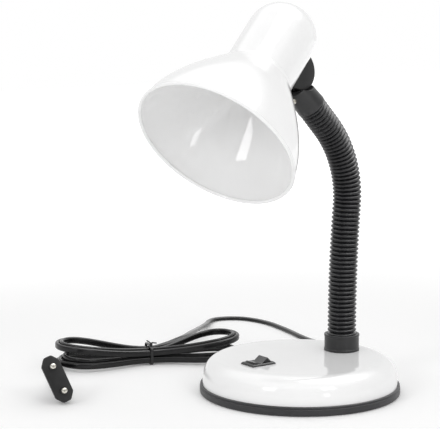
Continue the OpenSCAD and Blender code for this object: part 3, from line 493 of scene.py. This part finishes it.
grip_ribs = [[r - k * 0.25, z] for k in range(5) for r, z in
             ((4.4, 5 + k * 4.2), (3.7, 5.4 + k * 4.2), (3.7, 6.6 + k * 4.2), (4.3, 7 + k * 4.2))]
grip_line = [[0, -5.7], [5.5, -5.7], [5.5, -3.6], [4.4, -3.5], [4.4, 0.1], [5.5, 0.1], [5.5, 2], [4.6, 2.6],
             *grip_ribs, [3.1, 28], [0, 28]]
piece("lead_grip", [spun(eased(grip_line, 0.3, steps=3), 48)], plug_vinyl, AT_OUTLET, "base", ("cord_grip",))

# ---------------------------------------------------------------- base


def shell_side(r_wall, r_top, z_top, steps=48):
    """The rolled shoulder: a superellipse of the power 2.4 from the upright wall to the flat top."""
    a = np.linspace(np.pi / 2, 0, steps)
    in_out, up_down = np.cos(a).clip(0) ** (2 / 2.4), np.sin(a) ** (2 / 2.4)
    return np.stack([r_top + (r_wall - r_top) * in_out, 9.5 + (z_top - 9.5) * up_down], -1)


dome = np.concatenate([[[0, TOP_Z], [20, TOP_Z], [40, TOP_Z]], shell_side(72, 57.5, TOP_Z), [[72, 7], [72, 3.1]],
                       [[71.9, 3.0], [71.1, 3.0]], [[71, 3.1], [71, 7]], shell_side(71, 56.5, TOP_Z - 1)[::-1],
                       [[40, TOP_Z - 1], [20, TOP_Z - 1], [0, TOP_Z - 1]]])
piece("base_pressing", [spun(dome, 192)], enamel, None, "base", ("base_shell",))

trim = eased([[67, 0.4], [73.3, 0.4], [74, 1.2], [74, 5], [73.5, 5.4], [73.85, 5.8], [73.7, 6.7], [73.1, 7],
              [72.12, 7], [72.12, 2.9], [67, 2.9]],
             [0.1, 0.4, 0.6, 0.15, 0.12, 0.2, 0.3, 0.3, 0.1, 0.1, 0.1], loop=True)
piece("foot_trim", [spun(trim, 192, loop=True)], trim_vinyl, None, "base", ("base_ring",))

collar = eased([[5.3, 26.42], [13.25, 26.42], [13.25, 28], [12.95, 28.3], [12.95, 37.2], [13.25, 37.5], [13.25, 39],
                [11, 39], [11, 27.6], [5.3, 27.6]], [0.1, 0.3, 0.15, 0.3, 0.3, 0.15, 0.5, 0.3, 0.2, 0.1], loop=True)
piece("foot_collar", [spun(collar, 96, loop=True)], moulding, AT_NECK, "base", ("neck_collar",))

# ---------------------------------------------------------------- switch


def soft_rectangle(w, h, r, steps=5):
    """A rectangle w by h about the origin with its corners rounded."""
    return eased([[w / 2, h / 2], [-w / 2, h / 2], [-w / 2, -h / 2], [w / 2, -h / 2]], r, loop=True, steps=steps)


bezel_rows = [(12.6, 18.6, 0.4, 13), (12.6, 18.6, 0.4, 26.42), (14.9, 20.9, 0.7, 26.42), (15, 21, 0.8, 26.55),
              (15, 21, 0.8, 26.9), (14.8, 20.8, 0.8, 27.1), (13.3, 19.3, 0.7, 27.9), (13, 19, 0.7, 28),
              (11.2, 17.4, 0.5, 28), (10.9, 17.1, 0.4, 27.9), (10.8, 17, 0.4, 27.7), (10.8, 17, 0.4, 16.1)]
bezel = np.stack([np.column_stack([soft_rectangle(w, h, r), np.full(24, z)]) for w, h, r, z in bezel_rows])
piece("switch_frame", [sheet_of(bezel, lids=np.array([[0, 0, 13], [0, 0, 16.1]]))], nylon,
                     AT_SWITCH, "base", ("switch_housing",), crease=30)

side = np.radians(np.linspace(-22.9, 42, 9))
half_key = np.stack([8.2 * np.cos(side), 8.2 * np.sin(side)], -1)
key_line = np.concatenate([half_key, eased([half_key[-1], [5.9, 5.7], [0, 3.1], [-5.9, 5.7], half_key[-1] * [-1, 1]],
                                           [0, 0.5, 2.2, 0.5, 0])[1:-1], half_key[::-1] * [-1, 1]])
inset = np.array([0.35, 0.1, 0, 0, 0.1, 0.35])
key_x = np.array([-5.2, -5.1, -4.85, 4.85, 5.1, 5.2])
shrink = 1 - inset / 8.2
key = np.stack([np.broadcast_to(key_x[:, None], (6, len(key_line))), shrink[:, None] * key_line[:, 0],
                shrink[:, None] * key_line[:, 1]], -1)
AT_PIVOT = moved(0, SWITCH_Y, PIVOT_Z) @ turned("X", 12)
piece("rocker_key", [sheet_of(key, lids=np.array([[-5.2, 0, 0], [5.2, 0, 0]]))], nylon, AT_PIVOT, "rocker",
               ("switch_rocker",), crease=30)

# ---------------------------------------------------------------- neck


def ribbed(a, b):
    """The hose from rib a to rib b: across each rib the radius is the groove's plus the depth times a sine raised to
    the power 1.2, so the crests are narrow and the grooves wide; inside runs a plain bore. Rings stand square to the
    neck's axis."""
    phase = np.array([0, 0.1, 0.2, 0.3, 0.4, 0.5, 0.6, 0.7, 0.8, 0.9])
    s = np.concatenate([(np.arange(a, b)[:, None] + phase).ravel(), [b]])
    r = GROOVE_R + (SLEEVE_R - GROOVE_R) * np.abs(np.sin(np.pi * s)) ** 1.2
    back_s = np.linspace(b, a, 2 * (b - a) + 1)
    s, r = np.concatenate([s, back_s]) * RIB, np.concatenate([r, np.full(len(back_s), BORE_R)])
    y, z, lean = (v[:, None] for v in neck_at(s))
    t = 2 * np.pi * np.arange(56) / 56
    lean = np.radians(lean)
    rim, r = r[:, None] * np.sin(t), r[:, None]
    grid = np.stack([r * np.cos(t), y + rim * np.cos(lean), z + rim * np.sin(lean)], -1)
    return sheet_of(grid, loop=True)


for k in range(JOINTS):
    first = 0 if k == 0 else FOOT_RIBS + LINK_RIBS * k - 3
    last = RIBS if k == JOINTS - 1 else FOOT_RIBS + LINK_RIBS * k + 3
    taken = ("neck_sleeve_0", "neck_sleeve_1") if k == 0 else (f"neck_sleeve_{k + 1}",)
    hose = piece(f"ribbed_hose_{k}", [ribbed(first, last)], hose_vinyl, replaces=taken, crease=80)
    knee = FOOT_RIBS + LINK_RIBS * k
    lower, upper = (np.array([0, *(float(v) for v in neck_at((knee + d) * RIB)[:2])]) * MM for d in (-2.6, 2.6))
    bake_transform(hose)

# ---------------------------------------------------------------- head


def bowl_r(z):
    """Outer radius of the bowl at a distance z from the opening: the cap's radius plus a flare that falls as one
    minus a power of the distance."""
    return 25.6 + (59 - 25.6) * (1 - (z / 66) ** 1.6) ** 1.1


def shade_outline():
    """From the middle of the cap down its round shoulder and wall, over the soft step, down the bowl, round the
    rolled bead, and back up inside at the thickness of the steel."""
    a = np.linspace(np.pi / 2, 0, 28)
    down = 64.6 - 63.2 * np.linspace(0, 1, 60) ** 0.9
    bead = np.radians(np.linspace(63, -249, 20))
    step = np.radians(np.linspace(80, 10, 6))
    up = 1.4 + 63 * np.linspace(0, 1, 60) ** 1.1
    return np.concatenate([
        [[0, 129]], np.stack([4.6 + 21 * np.cos(a), 106 + 23 * np.sin(a)], -1), [[25.6, 90], [25.6, 75], [25.6, 68]],
        np.stack([25.5 + 0.9 * np.cos(step), 66 + 0.9 * np.sin(step)], -1),
        np.stack([bowl_r(down), down], -1), np.stack([58.5 + 1.3 * np.cos(bead), 1.3 * np.sin(bead)], -1),
        np.stack([bowl_r(up) - 0.9, up], -1), [[24.7, 68], [24.7, 75], [24.7, 90]],
        np.stack([4.6 + 20.1 * np.cos(a), 106 + 22.1 * np.sin(a)], -1)[::-1], [[0, 128.1]]])


piece("shade_spinning", [spun(shade_outline(), 224)], enamel, AT_SHADE, "head", ("shade",), crease=45)


def saddle_collar():
    """The top collar: a slightly tapered side whose top edge, and the top inside it, drop where the round bracket
    sits: the least of the collar's height and the underside of a cylinder of 15.4 mm about the bracket's axis."""
    t = 2 * np.pi * np.arange(112) / 112

    def top(x, y):
        drop = 27.8 - np.sqrt(np.clip(15.4**2 - (y - 9) ** 2, 0, None))
        return np.where(np.abs(y - 9) < 15.4, np.minimum(20, drop), 20)

    foot = ((10.4, 0.0), (10.75, 0.1), (11, 0.5))
    rows = [np.stack([r * np.cos(t), r * np.sin(t), np.full(112, h)], -1) for r, h in foot]
    crown = top(9.5 * np.cos(t), 9.5 * np.sin(t))
    for f in np.linspace(0.1, 1, 12):
        r = 11 - 0.9 * f
        z = 0.5 + (crown - 0.9) * f
        rows.append(np.stack([r * np.cos(t), r * np.sin(t), z], -1))
    for r in (9.95, 9.7, 9.3, 8, 6, 4, 2):
        x, y = r * np.cos(t), r * np.sin(t)
        rows.append(np.stack([x, y, top(x, y) - (0.12 if r > 9.8 else 0.02)], -1))
    return sheet_of(np.stack(rows), lids=np.array([[0, 0, 0], [0, 0, float(top(0.0, 0.0))]]))


piece("top_ferrule", [saddle_collar()], moulding, AT_HEAD, "head", ("top_collar",))


def bracket_disc():
    """The round bracket: across its thickness a disc whose radius is eased at both faces by a quarter circle, cut
    along the cap by a chord that follows the cap's radius at that depth."""
    e = np.linspace(0, np.pi / 2, 7)
    x = np.concatenate([-5 + 1.2 * (1 - np.cos(e)), np.linspace(-3.4, 3.4, 9), 5 - 1.2 * (1 - np.cos(e[::-1]))])
    r = 15.3 - np.concatenate([1.2 * (1 - np.sin(e)), np.zeros(9), 1.2 * (1 - np.sin(e[::-1]))])
    seat = np.sqrt(25.72**2 - x**2) - 26.5
    low = np.arcsin(seat / r)
    f = np.linspace(0, 1, 60)[None, :]
    a = low[:, None] + (np.pi - 2 * low[:, None]) * f
    arc_y, arc_z = r[:, None] * np.sin(a), r[:, None] * np.cos(a)
    g = np.linspace(-1, 1, 22)[None, 1:-1]
    line_y, line_z = np.broadcast_to(seat[:, None], (len(x), 20)), r[:, None] * np.cos(low[:, None]) * g
    y, z = np.concatenate([arc_y, line_y], 1), np.concatenate([arc_z, line_z], 1)
    grid = np.stack([np.broadcast_to(x[:, None], y.shape), 26.5 + y, 99 + z], -1)
    return sheet_of(grid, lids=np.array([[-5, 33, 99.0], [5, 33, 99.0]]))


# the bracket's finish is the collars' plastic coloured darker: painted shade
piece("bracket_disc", [bracket_disc()], bracket_painted_shade_moulding, AT_SHADE, "head", ("head_bracket",), crease=40)


def screw_shell():
    """The lampholder's threaded shell: a thin tube whose wall waves in and out by 0.3 mm, in a helix of 3.6 mm
    pitch, from its mouth to its end."""
    t, z = 2 * np.pi * np.arange(120) / 120, np.linspace(76.4, 94.4, 100)[:, None]
    fade = np.clip(np.minimum(z - 76.4, 94.4 - z) / 1.2, 0, 1)
    wave = 0.3 * fade * np.cos(2 * np.pi * z / 3.6 - t)
    inner = 13.55 + wave
    r = np.concatenate([inner, inner[::-1] + 0.3])
    z = np.concatenate([z, z[::-1]])
    return sheet_of(np.stack([r * np.cos(t), r * np.sin(t), np.broadcast_to(z, r.shape)], -1), loop=True)


piece("screw_shell", [screw_shell()], brass, AT_SHADE, "head", ("lampholder_shell",), crease=60)

# ---------------------------------------------------------------- pieces carried over

carried = {
    "base_weight": iron, "bottom_plate": zinc, "foot_pad": foam, "plate_screws": zinc, "switch_terminals": brass,
    "terminal_block": polyamide, "base_wires": wire_vinyl, "neck_stud": zinc, "neck_washer": zinc, "neck_nut": zinc,
    "collar_screw": nickel, "bracket_screws": zinc, "holder_strap": zinc, "holder_screw": zinc,
    "lampholder_body": glaze, "lampholder_contact": brass,
    "base_shell": enamel, "base_ring": trim_vinyl, "switch_housing": nylon, "switch_rocker": nylon,
    "neck_collar": moulding, "top_collar": moulding, "head_bracket": bracket_painted_shade_moulding, "shade": enamel,
    "lampholder_shell": brass, "cord_grip": plug_vinyl, "cord_lead": cord_vinyl, "cord_hank": cord_vinyl,
    "cord_tail": cord_vinyl, "hank_tie": plug_vinyl, "plug_body": plug_vinyl, "plug_pins": nickel,
    "pin_sleeves": plug_vinyl,
    **{f"neck_core_{k}": zinc for k in range(10)}, **{f"neck_sleeve_{k}": hose_vinyl for k in range(10)},
}
for name, look in carried.items():
    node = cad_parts[name]
    node.data.materials.clear()
    node.data.materials.append(look)

# ---------------------------------------------------------------- studio


def backdrop(name, colour, glow, far_glow):
    """A pale studio surface: matt for light that bounces, with a glow that only the camera and mirrors see, and
    that rises from 0.3 m to 1.2 m from the middle."""
    look = bpy.data.materials.new(name)
    look.use_nodes = True
    tree = look.node_tree
    tree.nodes.clear()
    ray = add(tree, "ShaderNodeLightPath")
    seen = add(tree, "ShaderNodeMath", operation="MAXIMUM",
               links={0: (ray, "Is Camera Ray"), 1: (ray, "Is Glossy Ray")})
    seen = add(tree, "ShaderNodeMath", operation="MAXIMUM",
               links={0: (seen, "Value"), 1: (ray, "Is Transmission Ray")})
    where = add(tree, "ShaderNodeTexCoord")
    away = add(tree, "ShaderNodeVectorMath", links={0: (where, "Object")}, operation="LENGTH")
    rise = add(tree, "ShaderNodeMapRange", {"From Min": 0.3, "From Max": 1.2, "To Min": glow, "To Max": far_glow},
               {"Value": (away, "Value")}, interpolation_type="SMOOTHSTEP")
    level = add(tree, "ShaderNodeMath", links={0: (seen, "Value"), 1: (rise, "Result")}, operation="MULTIPLY")
    matt = add(tree, "ShaderNodeBsdfDiffuse", {"Color": linear(colour)})
    light = add(tree, "ShaderNodeEmission", {"Color": (1, 1, 1, 1)}, {"Strength": (level, "Value")})
    both = add(tree, "ShaderNodeAddShader", links={0: (matt, "BSDF"), 1: (light, "Emission")})
    add(tree, "ShaderNodeOutputMaterial", links={"Surface": (both, "Shader")})
    return look


paper = backdrop("white_paper", "#f7f7f7", 0.12, 0.56)
u, v = np.meshgrid(np.linspace(-3000, 3000, 9), np.linspace(-3000, 3000, 9), indexing="ij")
floor_mesh = bpy.data.meshes.new("floor")
points, quads, *_ = sheet_of(np.stack([u, v, 0 * u], -1), around=False)
floor_mesh.from_pydata((points * MM).tolist(), [], quads.tolist())
floor_mesh.update()
floor_mesh.materials.append(paper)
floor = bpy.data.objects.new("floor", floor_mesh)
bpy.context.scene.collection.objects.link(floor)

world = bpy.data.worlds.new("studio")
bpy.context.scene.world = world
world.use_nodes = True
tree = world.node_tree
tree.nodes.clear()
ray = add(tree, "ShaderNodeLightPath")
way = add(tree, "ShaderNodeTexCoord")


def toward(bearing, height, wide, narrow, level):
    """A bright part of the studio as mirrors see it: level inside the narrow angle round a direction, falling by a
    smooth step to nothing at the wide one. The bearing is from the camera, in degrees."""
    a, b = np.radians(bearing) + np.arctan2(back[1], back[0]), np.radians(height)
    middle = (float(np.cos(a) * np.cos(b)), float(np.sin(a) * np.cos(b)), float(np.sin(b)))
    near = add(tree, "ShaderNodeVectorMath", {1: middle}, {0: (way, "Generated")}, operation="DOT_PRODUCT")
    low, high = float(np.cos(np.radians(wide))), float(np.cos(np.radians(narrow)))
    return add(tree, "ShaderNodeMapRange", {"From Min": low, "From Max": high, "To Min": 0.0, "To Max": level},
               {"Value": (near, "Value")}, interpolation_type="SMOOTHSTEP")


# what mirrors see: an even level, a pale back wall, a bright ceiling and the overhead lamp's sharp edge
mirrored = add(tree, "ShaderNodeValue")
mirrored.outputs[0].default_value = 0.45
total = (mirrored, "Value")
for part in (toward(180, 0, 95, 60, 0.5), toward(0, 90, 60, 45, 1.2), toward(115, 68, 27, 25, 2.6)):
    total = (add(tree, "ShaderNodeMath", links={0: total, 1: (part, "Result")}, operation="ADD"), "Value")
fill = add(tree, "ShaderNodeBackground", {"Color": (1, 1, 1, 1), "Strength": 0.8})
gloss = add(tree, "ShaderNodeBackground", {"Color": (1, 1, 1, 1)}, {"Strength": total})
seen = add(tree, "ShaderNodeBackground", {"Color": (1, 1, 1, 1), "Strength": 1.0})
mixed = add(tree, "ShaderNodeMixShader",
            links={0: (ray, "Is Glossy Ray"), 1: (fill, "Background"), 2: (gloss, "Background")})
mixed = add(tree, "ShaderNodeMixShader",
            links={0: (ray, "Is Camera Ray"), 1: (mixed, "Shader"), 2: (seen, "Background")})
add(tree, "ShaderNodeOutputWorld", links={"Surface": (mixed, "Shader")})


def softbox(name, bearing, height, distance, width, tall, power):
    """A soft lamp that faces the lamp's middle, at a bearing from the camera in degrees, a height in degrees above
    the horizon, and a distance in metres."""
    data = bpy.data.lights.new(name, "AREA")
    data.shape, data.size, data.size_y, data.energy = "RECTANGLE", width, tall, power
    lamp = bpy.data.objects.new(name, data)
    bpy.context.scene.collection.objects.link(lamp)
    a, b = np.radians(bearing) + np.arctan2(back[1], back[0]), np.radians(height)
    away = np.array([np.cos(a) * np.cos(b), np.sin(a) * np.cos(b), np.sin(b)])
    side = np.cross([0, 0, 1], away)
    side /= np.linalg.norm(side)
    m = np.eye(4)
    m[:3, :4] = np.stack([side, np.cross(away, side), away, np.array([-0.03, 0.0, 0.12]) + away * distance], 1)
    lamp.matrix_world = Matrix(m.tolist())
    return lamp


softbox("softbox_left", -39, 24, 1.7, 0.42, 0.42, 3.6)
softbox("softbox_right", 34, 30, 1.7, 0.46, 0.42, 2.8)
softbox("low_strip", 28, 1.3, 1.3, 0.14, 0.26, 0.5)
softbox("overhead", 115, 68, 1.9, 1.7, 1.7, 1.2)
